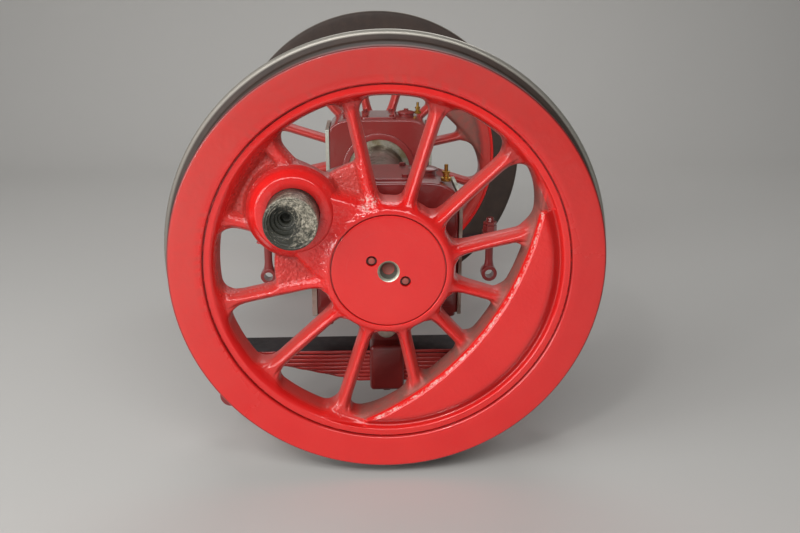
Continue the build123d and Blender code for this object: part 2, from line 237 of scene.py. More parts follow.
def weight_grid():
    """The raised face of the balance weight. Its rows follow the inner arc, then circles about the axle:
    wall, chipped edge, flat face, rounded outer edge, groove, and foot of the rim's lip."""
    turn = np.radians(np.linspace(-65.5, 57.4, 310))
    lead = np.exp(1j * (turn + math.radians(ARC_LEAD)))
    reach = -abs(ARC_AT) * np.cos(turn)

    def arc_radius(offset):
        return reach + np.sqrt(reach ** 2 + (ARC_R + offset) ** 2 - abs(ARC_AT) ** 2)

    offsets = np.array([-7.9, -7.4, -6.8, -6.0, -5.0, -4.0, -2.5, -1.0, 0.5, 2.0, 3.5, 5.0, 6.5, 8.0, 10.0])
    wall = curve(offsets, [-7.9, -7, -5, -1, 3, 7, 10], [-2, 22, 48, 56.5, 62.4, 65.6, WEIGHT_FACE])
    circles = np.concatenate([np.linspace(WEIGHT_FLAT_R, 429, 17), np.linspace(430.5, CREST_R, 13)])
    rows = [arc_radius(d) for d in offsets]
    rows += [rows[-1] + (WEIGHT_FLAT_R - rows[-1]) * t for t in (0.1, 0.3, 0.5, 0.7, 0.9)]
    rows += [np.full_like(turn, r) for r in circles]
    radius = np.minimum(np.maximum.accumulate(np.array(rows), axis=0), CREST_R)
    face = np.concatenate([wall, np.full(len(rows) - len(wall), WEIGHT_FACE)])[:, None]
    dish_radii = [400, 406, 412, 418, 424, 430, 434, 437, 440, CREST_R]
    dish = curve(radius, dish_radii, [WEIGHT_FACE, 65.4, 63.2, 59.2, 54.4, 50.2, 49, 51.4, 57, 60.8])
    height = np.minimum(face, dish)
    fade = ease((turn[-1] - turn) / math.radians(0.6)) * ease((turn - turn[0]) / math.radians(5))
    fade = np.where(height > WEIGHT_FADE_FROM, fade, 1)
    height = WEIGHT_FADE_FROM + (height - WEIGHT_FADE_FROM) * fade
    foot = [(radius[-1], 20.0), (arc_radius(30.0), 20.0), (arc_radius(4.0), -2.0)]
    p = np.vstack([radius * lead] + [np.minimum(r, CREST_R - 1) * lead for r, _ in foot])
    height = np.vstack([height] + [np.full_like(turn, h) for _, h in foot])
    height = np.pad(height, ((0, 0), (1, 1)), constant_values=8.0)
    return solid(capped(p), height), True, False


def turned(profile, steps, at=(0.0, 0.0, MIDDLE), axis=2, closed=True):
    """A profile of (radius, height) carried round an axis: the place, plus radius times the cosine and sine
    of the turn on the two other axes, plus height along the axis."""
    radius, height = np.array(profile, float).T[:, :, None]
    turn = np.radians(np.arange(steps) * 360 / steps)
    points = np.empty((len(profile), steps, 3))
    points[..., (axis + 1) % 3] = at[(axis + 1) % 3] + radius * np.cos(turn)
    points[..., (axis + 2) % 3] = at[(axis + 2) % 3] + radius * np.sin(turn)
    points[..., axis] = at[axis] + height
    return points, closed, True


# The boss is turned flat at its end, and a cast shoulder slopes from there to the skirt
BOSS_RING = [
    (65.6, 40), (65.6, 69.2), (66.4, 70), (80, 70), (88, 70), (89.8, 69.8), (91.6, 69.2), (93.6, 67.8),
    (95.6, 65.6), (98, 62.4), (101, 58), (104.5, 53), (108, 48.6), (111.5, 45), (115, 42), (118, 39),
    (118, 30), (100, 24), (70, 24),
]


def to_world(points, side):
    """Turns a wheel's own axes, crank along the first, to the frame: the crank's angle, then the side."""
    out, crank = SIDES[side]
    turn = (points[..., 0] + 1j * points[..., 1]) * np.exp(1j * math.radians(crank))
    return np.stack([-out * turn.real, out * points[..., 2], turn.imag], axis=-1)


TO_METRES = 0.001


def make_mesh(name, grids, sharp=38.0, marks=None, flats=()):
    """One object from grids of points in millimetres. A grid is (points, rows closed, columns closed), then
    the number of its material, or one for each row. Like points are joined, squares with a joined corner
    become triangles, each flat's outline and holes are filled, and faces are turned outwards."""
    points, squares, skins, start = [], [], [], 0
    for place, close_rows, close_columns, *skin in grids:
        rows, columns = place.shape[:2]
        index = start + np.arange(rows * columns).reshape(rows, columns)
        if close_rows:
            index = np.vstack([index, index[:1]])
        if close_columns:
            index = np.hstack([index, index[:, :1]])
        corner = [index[:-1, :-1], index[:-1, 1:], index[1:, 1:], index[1:, :-1]]
        squares.append(np.stack(corner, axis=-1).reshape(-1, 4))
        by_row = np.reshape(skin[0] if skin else 0, (-1, 1))
        skins.append(np.broadcast_to(by_row, (len(index) - 1, len(index[0]) - 1)).reshape(-1))
        points.append(place.reshape(-1, 3))
        start += rows * columns
    points, skins = np.concatenate(points), np.concatenate(skins)
    # Points within 0.002 mm are one, and the shift keeps round sizes away from where the rounding turns
    key = np.round(points * 500 + 0.137).astype(np.int64)
    _, first, same = np.unique(key, axis=0, return_index=True, return_inverse=True)
    points, squares = points[first], same.reshape(-1)[np.concatenate(squares)]
    joined = squares == np.roll(squares, -1, axis=1)
    whole = (joined.sum(axis=1) == 0) & (squares[:, 0] != squares[:, 2]) & (squares[:, 1] != squares[:, 3])
    single = joined.sum(axis=1) == 1
    triangles = squares[single][~joined[single]].reshape(-1, 3)
    mesh = bpy.data.meshes.new(name)
    mesh.from_pydata(points * TO_METRES, [], squares[whole].tolist() + triangles.tolist())
    skins = np.concatenate([skins[whole], skins[single]]).astype(np.int32)
    mesh.polygons.foreach_set("material_index", skins)
    for mark, values in (marks or {}).items():
        wide = values[0].ndim == 3
        layer = mesh.attributes.new(mark, "FLOAT_VECTOR" if wide else "FLOAT", "POINT")
        values = np.concatenate([v.reshape(-1, v.shape[-1] if wide else 1) for v in values])[first]
        layer.data.foreach_set("vector" if wide else "value", values.astype(np.float32).ravel())
    work = bmesh.new()
    work.from_mesh(mesh)
    for loops in flats:
        edges = []
        for loop in loops:
            corners = [work.verts.new(c) for c in loop * TO_METRES]
            edges += [work.edges.new(pair) for pair in zip(corners, corners[1:] + corners[:1])]
        bmesh.ops.triangle_fill(work, use_beauty=True, use_dissolve=False, edges=edges)
    if flats:
        bmesh.ops.remove_doubles(work, verts=work.verts, dist=0.000005)
    bmesh.ops.recalc_face_normals(work, faces=work.faces)
    work.to_mesh(mesh)
    work.free()
    mesh.shade_smooth()
    mesh.set_sharp_from_angle(angle=math.radians(sharp))
    made = bpy.data.objects.new(name, mesh)
    bpy.context.scene.collection.objects.link(made)
    return made


def fit(piece, body, nodes, materials):
    """Gives a piece its materials, the body it rides on, and the CAD nodes that it stands for."""
    for material in materials:
        piece.data.materials.append(material)
    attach(piece, body)
    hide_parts(*nodes)


def linear(code):
    """An sRGB hex colour as linear values: ((c + 0.055) / 1.055) to the power 2.4, or c / 12.92 when dark."""
    c = np.array([int(code[i:i + 2], 16) for i in (1, 3, 5)]) / 255
    low, high = c / 12.92, ((c + 0.055) / 1.055) ** 2.4
    return (*np.where(c <= 0.04045, low, high).tolist(), 1.0)


def set_sockets(tree, inputs, values):
    """Gives each input, by name or number, a value or another node's output."""
    for key, value in values.items():
        if isinstance(value, bpy.types.NodeSocket):
            tree.links.new(value, inputs[key])
        else:
            inputs[key].default_value = value


def node(tree, kind, values=None, out=0, **settings):
    """Adds one node with its settings and the values of its inputs, and gives back the output asked for. A
    MapRange's inputs are the value, the two ends read and the two ends written; a Mix's are its share, then
    2 and 3 for numbers or 6 and 7 for colours."""
    made = tree.nodes.new("ShaderNode" + kind)
    for key, value in settings.items():
        setattr(made, key, value)
    set_sockets(tree, made.inputs, values or {})
    return made.outputs[out]


def new_material(name):
    """A new material, with its tree and the inputs of its shader."""
    made = bpy.data.materials.new(name)
    made.use_nodes = True
    return made, made.node_tree, made.node_tree.nodes["Principled BSDF"].inputs


def red_enamel(name, colour="#dc1417", faded="#e82c26", dusty_and_painted_light="#8c574d", grime_and_shade="#4c100f", gloss=0.2):
    """Gloss alkyd enamel, brushed and sprayed over cast or rolled steel, under clear varnish. It reflects
    soft lights clearly and carries slight brush waves. Brake dust turns it dull and brown, and oil dark; the
    marks on the mesh say where these lie, where it is chipped, and where the casting under it is rough. The
    dust and grime marks also hold painted shade and sheen, and the chips mark pale painted glints."""
    made, tree, shader = new_material(name)
    place = node(tree, "TexCoord", out="Object")
    marks = ("dust_and_painted_light", "grime_and_shade", "chips_and_glints", "rough")
    dust_and_painted_light, grime_and_shade_mark, chips_and_glints, rough = (node(tree, "Attribute", out="Fac", attribute_name=mark) for mark in marks)
    # Fading and thin coats, in patches about 150 mm across
    patch = node(tree, "TexNoise", {"Vector": place, "Scale": 6.5, "Detail": 3.0})
    enamel = node(tree, "Mix", {0: patch, 6: linear(colour), 7: linear(faded)}, 2, data_type="RGBA")
    # Dust, and the painted shade and sheen that the dust mark carries, in clouds about 25 mm across
    cloud = node(tree, "TexNoise", {"Vector": place, "Scale": 40.0, "Detail": 6.0, "Roughness": 0.65})
    cloudy = node(tree, "MapRange", {0: cloud, 1: 0.3, 2: 0.7, 3: 0.75, 4: 1.1})
    dirt_and_painted_light = node(tree, "Math", {0: dust_and_painted_light, 1: cloudy}, operation="MULTIPLY", use_clamp=True)
    dusted_and_painted_light = node(tree, "Mix", {0: dirt_and_painted_light, 6: enamel, 7: linear(dusty_and_painted_light)}, 2, data_type="RGBA")
    darkened = node(tree, "Mix", {0: grime_and_shade_mark, 6: dusted_and_painted_light, 7: linear(grime_and_shade)}, 2, data_type="RGBA")
    # Chips and scrapes along edges, 3 to 10 mm long, and pale painted glints where the chips mark says
    speck = node(tree, "TexNoise", {"Vector": place, "Scale": 85.0, "Detail": 5.0, "Roughness": 0.75})
    ragged = node(tree, "Math", {0: speck, 1: chips_and_glints}, operation="ADD")
    bare = node(tree, "MapRange", {0: ragged, 1: 1.08, 2: 1.22, 3: 0.0, 4: 0.85})
    chips_and_highlight = node(tree, "Mix", {0: bare, 6: darkened, 7: linear("#f2c3b9")}, 2, data_type="RGBA")
    dull = node(tree, "MapRange", {0: dirt_and_painted_light, 1: 0.0, 2: 1.0, 3: gloss, 4: 0.75})
    # Sand-cast skin, 9 mm lumps under the paint, and brush waves about 25 mm apart
    grain = node(tree, "TexNoise", {"Vector": place, "Scale": 115.0, "Detail": 1.6, "Roughness": 0.5})
    lumps = node(tree, "MapRange", {0: rough, 1: 0.0, 2: 1.0, 3: 0.05, 4: 1.0})
    skin = node(tree, "Bump", {"Strength": lumps, "Distance": 0.005, "Height": grain})
    wave = node(tree, "TexNoise", {"Vector": place, "Scale": 40.0, "Detail": 1.0})
    brushed = node(tree, "Bump", {"Strength": 0.18, "Distance": 0.003, "Height": wave, "Normal": skin})
    varnish = node(tree, "MapRange", {0: dirt_and_painted_light, 1: 0.0, 2: 0.6, 3: 0.6, 4: 0.0})
    set_sockets(tree, shader, {
        "Base Color": chips_and_highlight, "Roughness": dull, "IOR": 1.54, "Normal": brushed,
        "Coat Weight": varnish, "Coat Roughness": 0.04, "Coat Normal": brushed,
    })
    return made


wheel_enamel = red_enamel("red_enamel_on_cast_steel")
GROOVE_R, SEAM_FROM_R, SEAM_TO_R, HUB_EDGE_R = 425.0, 142.2, 145.5, 156.0
# Spoke roots with the roughest skin and pale painted glints: distance out, turn from the crank, and reach
ROUGH_ROOTS = [(181, -41.5, 24), (413, 104.5, 18)]
centre_grids = casting_grids() + [weight_grid(), turned(BOSS_RING, 144, (CRANK_R, 0.0, MIDDLE))]
# How much dust, grime, chipping and rough skin each point has: in corners, seams and grooves, and on edges.
# The grime mark also holds painted shade, and the chips mark pale painted glints
wheel_marks = {"dust_and_painted_light": [], "grime_and_shade": [], "chips_and_glints": [], "rough": []}
for points, _, _ in centre_grids:
    p, height = points[..., 0] + 1j * points[..., 1], points[..., 2] - MIDDLE
    r, turn = np.abs(p), np.angle(p)
    angle, arc, boss = np.abs(np.degrees(turn)), np.abs(p - ARC_AT) - ARC_R, np.abs(p - CRANK_R)
    wall = 0.42 * ease((52 - height) / 30) * ease((r - 160) / 10)
    inner_wall = ease((arc + 26) / 16) * ease((60 - height) / 14) * (r < GROOVE_R)
    wheel_marks["dust_and_painted_light"].append(np.clip(wall + 0.72 * inner_wall * (height < 50), 0, 1))
    # Grime and painted shade in the groove round the weight
    groove_grime_and_shade = ease(1.3 - np.abs(r - GROOVE_R) / 13) * (arc > 6) * (height < 65)
    # Painted shade round the foot of the crank boss
    foot = ease(1.4 - np.abs(boss - 116) / 9) * (height < 50)
    seams = 0.8 * (height < 67) * (r < SEAM_TO_R) * (r > SEAM_FROM_R) + (r >= LIP_R) * (height > 50)
    # Painted shade on the rim's inner slope, strongest on one side of the wheel
    painted_shade_on_rim_slope = ease(0.3 + 0.9 * np.cos(turn + math.radians(97.5)))
    painted_shade_on_rim_slope = painted_shade_on_rim_slope * ease((442 - r) / 12) * ease((r - 400) / 8) * (arc < 0)
    pin_edge = ease((70.5 - boss) / 3) * (height > 60)
    grime_and_shade_mark = 0.42 * groove_grime_and_shade + 0.35 * foot + 0.6 * seams + 0.4 * painted_shade_on_rim_slope + 0.45 * pin_edge
    wheel_marks["grime_and_shade"].append(np.clip(grime_and_shade_mark, 0, 1))
    # The weight's inner edge: chips, with a painted highlight along it
    chips_and_highlight = 0.66 * ease(1.3 - np.abs(arc - 0.8) / 5.2) * ease((OPENING_OUTER_R - r) / 20) * (height > 46)
    chips_and_highlight = chips_and_highlight * (0.93 + 0.09 * np.sin(31 * turn) * np.sin(12.7 * turn + 1))
    roots = [np.abs(p - out * np.exp(1j * math.radians(at))) / size for out, at, size in ROUGH_ROOTS]
    glint = sum(ease(1.4 - off) for off in roots) * (height > 30)
    # Rough skin over the hub's top; the chips mark paints pale glints there and at the spoke roots
    lumpy = ease((40 - np.abs(angle - 32)) / 22) * ease((r - 149) / 4) * ease((212 - r) / 20) * (height > 30)
    wheel_marks["chips_and_glints"].append(chips_and_highlight + 0.45 * lumpy + 0.17 * glint)
    crest = ease((r * np.sin(np.radians(np.abs(angle % (2 * HALF_CELL) - HALF_CELL))) - 9) / 9)
    cast = (angle < WEB_ANGLE + 2) * ease((boss - BOSS_R + BOSS_DRAFT) / 8) * ease((r - HUB_EDGE_R) / 8)
    cast = cast * ease((52 - height) / 10) * (0.35 + 0.65 * crest)
    spoke = 0.12 * ease((r - HUB_EDGE_R) / 12) * ease((RIM_GRID_R - r) / 8)
    wheel_marks["rough"].append(np.clip(0.85 * cast + 0.5 * lumpy + 0.5 * glint + spoke, 0, 1))
for side in SIDES:
    placed = [(to_world(points, side), rows, columns) for points, rows, columns in centre_grids]
    centre = make_mesh(f"wheel_centre_{side}_casting", placed, marks=wheel_marks)
    fit(centre, "wheelset", [f"wheel_centre_{side}"], [wheel_enamel])

# Tyres. Each is a rolled ring of hard tyre steel, shrunk on the rim and turned to shape, with a lip in
# front of the rim. Its face is painted red with the wheel; tread and flange are bare, brown and worn.
TYRE_PROFILE = [
    (460.6, 59.0), (460.6, 65.0), (461.2, 66.6), (462.8, 68.4), (464.2, 69.5), (466, 70),
    (485, 70), (505, 70), (525, 70), (541, 70), (543.6, 69.6), (545.2, 68.6), (546.4, 67),
    (547.4, 60), (548.4, 40), (549.2, 24), (549.4, 18), (549.7, 9), (550, 0), (550.2, -9), (550.5, -18),
    (550.7, -24), (551.2, -30), (552.3, -37),
    (555, -42.4), (559.5, -45.4), (565, -47.2), (570, -48.9), (574.4, -51.6), (577.2, -55.4), (578, -59),
    (576.8, -63.2), (573.4, -66.8), (568.2, -69), (562, -70), (545, -70), (520, -70), (495, -70),
    (478.4, -70), (476, -69), (475.2, -67), (475.1, -64), (475.1, -50),
    (475.1, 0), (475.1, 57.6), (462, 57.6), (461, 58),
]
tyre_enamel = red_enamel("red_enamel_on_turned_steel", gloss=0.26)


def worn_tyre_steel():
    """Hard rolled tyre steel, bare: brown rust film in clouds 45 mm across, brake dust and 4 mm pits, rubbed
    bright where the wear mark says that the rail runs. That mark also holds a painted sheen, brighter
    towards the upper right."""
    made, tree, shader = new_material("worn_tyre_steel")
    place = node(tree, "TexCoord", out="Object")
    wear_and_sheen = node(tree, "Attribute", out="Fac", attribute_name="wear_and_sheen")
    cloud = node(tree, "TexNoise", {"Vector": place, "Scale": 22.0, "Detail": 6.0, "Roughness": 0.6})
    film = node(tree, "Mix", {0: cloud, 6: linear("#211b18"), 7: linear("#4a382e")}, 2, data_type="RGBA")
    bright = node(tree, "Mix", {0: wear_and_sheen, 6: film, 7: linear("#bdb8ad")}, 2, data_type="RGBA")
    bare = node(tree, "Math", {0: wear_and_sheen, 1: 0.7}, operation="MULTIPLY")
    dull = node(tree, "MapRange", {0: wear_and_sheen, 1: 0.0, 2: 1.0, 3: 0.62, 4: 0.34})
    pits = node(tree, "TexNoise", {"Vector": place, "Scale": 260.0, "Detail": 3.0})
    pitted = node(tree, "Bump", {"Strength": 0.25, "Distance": 0.001, "Height": pits})
    set_sockets(tree, shader, {"Base Color": bright, "Metallic": bare, "Roughness": dull, "Normal": pitted})
    return made


tyre_steel = worn_tyre_steel()
# Face and lip are painted, and the rest is bare
painted_rows = [0 if h > 59 or (r < 476 and h > 40) else 1 for r, h in TYRE_PROFILE]
for side in SIDES:
    grid, rows, columns = turned(TYRE_PROFILE, 288)
    height = grid[..., 2] - MIDDLE
    reach, world = np.abs(grid[..., 0] + 1j * grid[..., 1]), to_world(grid, side)
    # Painted sheen: the worn band is brighter towards the upper right
    painted_sheen = 0.35 + 0.65 * ease(0.45 + 0.6 * (world[..., 0] * 0.77 + world[..., 2] * 0.64) / reach)
    wear_and_sheen = ease((reach - 566) / 5) * ease((height + 66) / 6) * painted_sheen
    # Darker at the face's outer edge and at the seam
    darkened = 0.85 * ease((reach - 541) / 5) + 0.45 * ease((463.5 - reach) / 2.5)
    around = np.degrees(np.arctan2(world[..., 2], world[..., 0]))
    # Painted sheen and shade: duller, browner paint towards the top of the face
    dusty_and_painted_light = 0.3 * ease(0.45 + 0.7 * np.cos(np.radians(around - 115))) * (reach > 466)
    # Painted shade: darker towards the upper right
    painted_shade_upper_right = 0.16 * ease(0.4 + 0.8 * np.cos(np.radians(around - 50)))
    tyre_marks = {"wear_and_sheen": [wear_and_sheen], "dust_and_painted_light": [dusty_and_painted_light], "grime_and_shade": [np.clip(darkened + painted_shade_upper_right, 0, 0.85)]}
    tyre = make_mesh(f"tyre_{side}_ring", [(world, rows, columns, painted_rows)], 24.0, tyre_marks)
    fit(tyre, "wheelset", [f"tyre_{side}"], [tyre_enamel, tyre_steel])

# Retaining rings. Each is a bar of square steel, bent into the tyre behind the rim, where the tyre's lip is
# hammered over it. It is painted with the tyre.
RING_PROFILE = [
    (464.8, -55.4), (466.2, -54.1), (474.9, -54.1), (474.9, -63.9),
    (467.6, -63.9), (465.6, -63.2), (464.8, -61.4),
]
for side in SIDES:
    grid, rows, columns = turned(RING_PROFILE, 240)
    ring = make_mesh(f"tyre_ring_{side}_bar", [(to_world(grid, side), rows, columns)], 30.0)
    fit(ring, "wheelset", [f"tyre_ring_{side}"], [tyre_enamel])

# Axle. It is one steel forging, turned all over, polished at the journals, and pressed into the wheels.
# Each end is painted over with the hub, round a bare turning centre and two drilled holes with plugs.
AXLE_END, CENTRE_RIM_R, PLUG_R, PLUG_REACH = MIDDLE + HUB_FACE, 14.0, 8.4, 50.0
AXLE_HALF = [
    (85, 0), (85, 370), (85.6, 377), (88.4, 393), (92.4, 408), (94.4, 414.5), (95, 419), (95, 667),
    (95.6, 670), (97.4, 672.2), (100, 673), (SEAT_R, 673), (SEAT_R, AXLE_END),
]
CENTRE_HOLE = [
    (28.5, HUB_FACE), (27.8, 70), (27.2, 69.7), (23, 65), (21.6, 62.6), (15.8, 49), (14.8, 46.4),
    (13.6, 45.3), (12.4, 45), (0, 45),
]
PLUG_HOLE = [
    (15, HUB_FACE), (14, 70), (13.4, 69), (12.8, 58), (8.6, 57.6), (8.2, 66.8), (7.4, 68.2), (5, 68.8),
    (0, 69),
]


def machined_steel(name, base, film, gloss, streak_axis, grease="#a9ab9b"):
    """Turned or ground steel under oil: a bright metal with fine tool marks, darkened where oil has gathered
    dust, and with pale spots of old grease where the grease mark says."""
    made, tree, shader = new_material(name)
    place = node(tree, "TexCoord", out="Object")
    greased = node(tree, "Attribute", out="Fac", attribute_name="grease")
    cloud = node(tree, "TexNoise", {"Vector": place, "Scale": 18.0, "Detail": 6.0, "Roughness": 0.62})
    oily = node(tree, "MapRange", {0: cloud, 1: 0.38, 2: 0.62, 3: 0.0, 4: 1.0})
    metal = node(tree, "Mix", {0: oily, 6: linear(base), 7: linear(film)}, 2, data_type="RGBA")
    # Grease in crumbs 2 to 5 mm across, and smeared round the end of a pin
    crumb = node(tree, "TexNoise", {"Vector": place, "Scale": 190.0, "Detail": 5.0, "Roughness": 0.7})
    around = node(tree, "Attribute", out="Vector", attribute_name="around")
    smear = node(tree, "TexNoise", {"Vector": around, "Scale": 3.4, "Detail": 5.0, "Roughness": 0.6})
    mixed = node(tree, "Mix", {0: 0.55, 2: crumb, 3: smear})
    spots = node(tree, "Math", {0: mixed, 1: greased}, operation="ADD")
    pale = node(tree, "MapRange", {0: spots, 1: 0.93, 2: 1.16, 3: 0.0, 4: 0.92})
    tone = node(tree, "MapRange", {0: crumb, 1: 0.38, 2: 0.62, 3: 0.0, 4: 1.0})
    greasy = node(tree, "Mix", {0: tone, 6: linear("#6b6656"), 7: linear(grease)}, 2, data_type="RGBA")
    black = node(tree, "MapRange", {0: spots, 1: 0.66, 2: 0.86, 3: 0.0, 4: 0.9})
    dark = node(tree, "Mix", {0: black, 6: metal, 7: linear("#23251f")}, 2, data_type="RGBA")
    colour = node(tree, "Mix", {0: pale, 6: dark, 7: greasy}, 2, data_type="RGBA")
    bare = node(tree, "MapRange", {0: black, 1: 0.0, 2: 0.85, 3: 1.0, 4: 0.0})
    dull = node(tree, "MapRange", {0: oily, 1: 0.0, 2: 1.0, 3: gloss, 4: gloss + 0.22})
    # Tool marks a millimetre apart, drawn out round the work
    stretch = [30.0, 30.0, 30.0]
    stretch[streak_axis] = 900.0
    drawn = node(tree, "Mapping", {"Vector": place, "Scale": stretch})
    cuts = node(tree, "TexNoise", {"Vector": drawn, "Scale": 1.0, "Detail": 2.0})
    cut = node(tree, "Bump", {"Strength": 0.1, "Distance": 0.001, "Height": cuts})
    lumpy = node(tree, "Bump", {"Strength": greased, "Distance": 0.004, "Height": mixed, "Normal": cut})
    set_sockets(tree, shader, {"Base Color": colour, "Metallic": bare, "Roughness": dull, "Normal": lumpy})
    return made


axle_steel = machined_steel("oiled_axle_steel", "#9d988f", "#777066", 0.34, 1)
bare_centre_steel = machined_steel("bare_turned_steel", "#dcdccb", "#a5a393", 0.42, 1)
shaft_profile = [(r, -y) for r, y in AXLE_HALF[:0:-1]] + AXLE_HALF
axle_grids = [turned(shaft_profile, 96, (0.0, 0.0, 0.0), 1, closed=False)]
shaft = axle_grids[0][0]
axle_flats = []
axle_marks = {mark: [np.zeros(shaft.shape[:2])] for mark in ("dust_and_painted_light", "grime_and_shade", "grease")}
end_holes = [(0.0, CENTRE_HOLE, 48), (-PLUG_REACH, PLUG_HOLE, 32), (PLUG_REACH, PLUG_HOLE, 32)]
for side, (outwards, _) in SIDES.items():
    loops = [shaft[-1 if outwards > 0 else 0]]
    for reach, profile, steps in end_holes:
        grid, rows, columns = turned(profile, steps, (reach, 0.0, MIDDLE), closed=False)
        skins = [1 if reach or r < CENTRE_RIM_R else 2 for r, _ in profile[1:]]
        placed = to_world(grid, side)
        axle_grids.append((placed, rows, columns, skins))
        loops.append(placed[0])
        radius = np.hypot(grid[..., 0] - reach, grid[..., 1])
        dusty_and_painted_light = 0.85 * (radius < PLUG_R) if reach else 1.0 * (radius < CENTRE_RIM_R)
        axle_marks["dust_and_painted_light"].append(dusty_and_painted_light)
        # Painted shade in the gap round each plug
        axle_marks["grime_and_shade"].append(1.0 * (reach != 0) * (radius > PLUG_R) * (radius < 13.2))
        axle_marks["grease"].append(0.4 * (reach == 0) * (radius > CENTRE_RIM_R) * (radius < 22))
    axle_flats.append(loops)
axle = make_mesh("axle_forging", axle_grids, 30.0, axle_marks, axle_flats)
painted = [f.index for f in axle.data.polygons if abs(f.center.y) > (AXLE_END - 0.1) * TO_METRES]
skin = np.array([f.material_index for f in axle.data.polygons])
skin[painted] = 1
axle.data.polygons.foreach_set("material_index", skin)
fit(axle, "wheelset", ["axle"], [axle_steel, wheel_enamel, bare_centre_steel])

# Crank pins. Each is case-hardened steel, ground on its journal and pressed into the boss. The end has a
# stepped recess with a threaded hole for the rod's washer, and old grease lies on it, thickest on top.
PIN_R, PIN_END, RECESS_R, RECESS_OFF = 65.0, 158.0, 37.0, 14.0
pin_rings = [(60.5 - k * 3.1, PIN_END - 1.3 * (k % 2)) for k in range(1, 8)]
PIN_PROFILE = [
    (0, -46), (60, -46), (PIN_R, -42), (PIN_R, 154.2), (64, 156.8), (61.6, PIN_END), *pin_rings,
    (RECESS_R, PIN_END), (36, 157.2), (35.4, 150), (34.4, 146.4), (31, 146), (28, 146), (27, 145),
    (26.4, 140), (25, 138.6), (21, 138.4), (19.6, 137.6), (19, 133), (17.6, 131.8), (14, 131.6),
    (13, 130.4), (12.6, 108), (0, 102),
]
pin_steel = machined_steel("greased_pin_steel", "#6c695a", "#34332a", 0.38, 1, grease="#c2b9a6")
for side in SIDES:
    grid, rows, columns = turned(PIN_PROFILE, 96, (CRANK_R, 0.0, MIDDLE), closed=False)
    radius, height = np.hypot(grid[..., 0] - CRANK_R, grid[..., 1]), grid[..., 2] - MIDDLE
    grid[..., 0] += RECESS_OFF * ease((58 - radius) / 21) * (height > 100)
    placed = to_world(grid, side)
    across = placed[..., 0] - placed[0, 0, 0]
    above = placed[..., 2] - placed[0, 0, 2]
    lean = (0.7 * above + 0.7 * across) / PIN_R
    grease = 0.33 + 0.24 * ease(0.5 + 0.5 * lean) + 0.06 * (radius > RECESS_R)
    grease = grease - 0.1 * ease((150 - height) / 30) * (radius < RECESS_R - 0.5)
    turnwise = np.exp(1j * np.arctan2(above, across))
    around = np.stack([turnwise.real, turnwise.imag, radius * 0.07 + height * 0.03], axis=-1)
    pin_marks = {"grease": [grease * (height > 60)], "around": [around]}
    pin = make_mesh(f"crank_pin_{side}_journal", [(placed, rows, columns)], 32.0, pin_marks)
    fit(pin, "wheelset", [f"crank_pin_{side}"], [pin_steel])

# Axleboxes. Each is a steel casting that stands over the journal, open below for the keep, painted red
# and grimed with oil. A collar is turned round the bore, and oil lids and a brass pipe union sit on top.
BOX_IN, BOX_OUT, BOX_MIDDLE, BOX_HALF = 427.0, 663.0, 545.0, 190.0
JAW_HALF, BORE_R, FOOT_Z, BOLT_X = 125.0, 117.0, -170.0, 158
# A darker, duller red than the wheels': dust, and painted shade on the parts behind the wheels
gear_enamel = red_enamel("grimy_shaded_red_enamel_on_castings", "#93191c", "#86403b", "#6a4640", "#2b1b1a", 0.3)


def slab(inner, outer, low, high, bevel, closed=True, lay=(0, 2, 1)):
    """A plate between an inner and an outer outline, given as complex points in pairs, from one height to
    another. Its outer edges are rounded: inset by bevel times 1 - sin, and lowered by bevel times 1 - cos.
    The lay names the axes of the outline's two directions and of the height."""
    inner = np.broadcast_to(inner, outer.shape)
    tangent = np.roll(outer, -1) - np.roll(outer, 1) if closed else np.gradient(outer)
    normal = -1j * tangent / np.maximum(np.abs(tangent), 1e-9)
    normal = normal * np.sign(np.mean((normal * np.conj(outer - inner)).real))
    flat = outer - normal * (1.2 * bevel + 0.6)
    quarter = np.radians([0, 30, 60, 90])
    edge = [outer - normal * bevel * (1 - np.sin(a)) for a in quarter]
    drop = [bevel * (1 - np.cos(a)) for a in quarter]
    p = np.array([inner, flat, *edge, *edge[::-1], flat, inner])
    heights = [high, high, *(high - d for d in drop), *(low + d for d in drop[::-1]), low, low]
    h = np.array([np.full(len(outer), height) for height in heights])
    if not closed:
        p, h = capped(p), capped(h)
    points = np.empty((*p.shape, 3))
    points[..., lay[0]], points[..., lay[1]], points[..., lay[2]] = p.real, p.imag, h
    return points, True, closed


def rounded(half_width, half_height, radius, steps, centre=0.0):
    """A box outline with rounded corners: at each turn t, the corner's centre, which is the signs of cos t
    and sin t times (half size - radius), plus radius times (cos t, sin t)."""
    turn = np.radians((np.arange(steps) + 0.5) * 360 / steps)
    x = np.sign(np.cos(turn)) * (half_width - radius) + radius * np.cos(turn)
    y = np.sign(np.sin(turn)) * (half_height - radius) + radius * np.sin(turn)
    return centre + x + 1j * y


def hex_nut(radius, height, at, axis=2):
    """A hexagon with its corners chamfered at both ends, as a six-sided turned profile."""
    face, cut = radius * 0.9, radius * 0.07
    profile = [(0, 0), (face, 0), (radius, cut), (radius, height - cut), (face, height), (0, height)]
    return turned(profile, 6, at, axis, closed=False)


def mirrored(grids, side):
    """Grids made for the side at +Y, with their distance from the middle turned to the wanted side."""
    return [(points * (1.0, SIDES[side][0], 1.0), *rest) for points, *rest in grids]


over = np.radians(np.linspace(180, 0, 91))
along, up = np.abs(np.cos(over)), np.sin(over)
